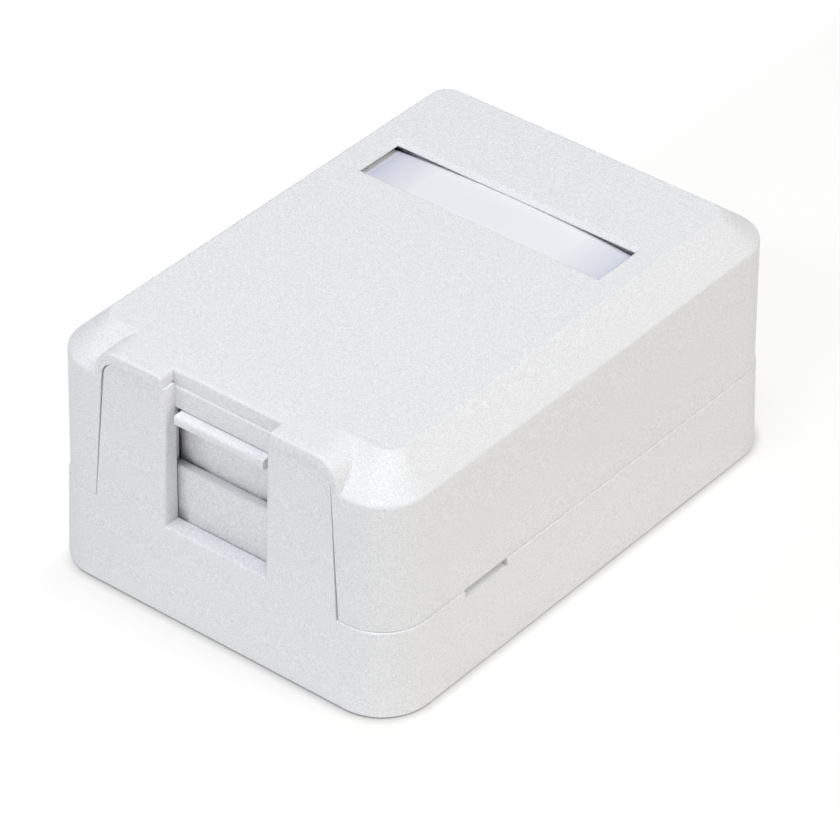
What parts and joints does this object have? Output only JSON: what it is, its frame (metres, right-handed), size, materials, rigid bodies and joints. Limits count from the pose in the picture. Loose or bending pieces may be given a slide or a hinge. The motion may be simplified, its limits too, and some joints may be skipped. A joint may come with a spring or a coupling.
{
  "type": "surface mount jack box",
  "caption": "Flat white plastic surface mount box holding a modular jack behind a telescoping front shutter, with a lift-off cover, bevelled top, label window and cable openings.",
  "frame": {"origin": "centre of the box's outline on its mounting face", "axes": "+X right across the box, +Y from the port at the front to the cable end, +Z away from the mounting face"},
  "size_m": [0.044, 0.0624, 0.0282],
  "materials": {
    "housing_plastic": "fine spark-eroded texture",
    "guide_plastic": "fine matt",
    "label_paper": "smooth card",
    "board_laminate": "green solder resist",
    "jack_plastic": "smooth black",
    "terminal_plastic": "smooth ivory",
    "contact_metal": "gold flashed",
    "blade_metal": "tin plated",
    "screw_steel": "zinc plated",
    "spring_steel": "bright drawn wire"
  },
  "bodies": {
    "base": {"base_tray": "housing_plastic", "shutter_guide": "guide_plastic", "shutter_spring_left": "spring_steel", "shutter_spring_right": "spring_steel", "circuit_board": "board_laminate", "board_screw_left": "screw_steel", "board_screw_right": "screw_steel", "jack_housing": "jack_plastic", "contact_carrier": "jack_plastic", "idc_block_left": "terminal_plastic", "idc_block_right": "terminal_plastic", "contact_wire_1": "contact_metal", "contact_wire_2": "contact_metal", "contact_wire_3": "contact_metal", "contact_wire_4": "contact_metal", "contact_wire_5": "contact_metal", "contact_wire_6": "contact_metal", "contact_wire_7": "contact_metal", "contact_wire_8": "contact_metal", "idc_blade_left_1": "blade_metal", "idc_blade_left_2": "blade_metal", "idc_blade_left_3": "blade_metal", "idc_blade_left_4": "blade_metal", "idc_blade_right_1": "blade_metal", "idc_blade_right_2": "blade_metal", "idc_blade_right_3": "blade_metal", "idc_blade_right_4": "blade_metal"},
    "cover": {"top_cover": "housing_plastic", "label_strip": "label_paper"},
    "upper_leaf": {"shutter_upper_leaf": "housing_plastic"},
    "lower_leaf": {"shutter_lower_leaf": "housing_plastic"}
  },
  "joints": [
    {"name": "cover_lift", "type": "slide", "parent": "base", "child": "cover", "axis": [0, 0, 1], "range_m": [0, 0.03]},
    {"name": "shutter_upper_slide", "type": "slide", "parent": "base", "child": "upper_leaf", "axis": [0, 0, -1], "range_m": [0, 0.011], "stiffness_N_per_m": 100, "springref_m": -0.005, "deforming": ["shutter_spring_left", "shutter_spring_right"]},
    {"name": "shutter_lower_slide", "type": "slide", "parent": "base", "child": "lower_leaf", "axis": [0, 0, -1], "range_m": [0, 0.006]}
  ],
  "couplings": [
    {"joint": "shutter_lower_slide", "follows": "shutter_upper_slide", "ratio": 0.5454}
  ]
}
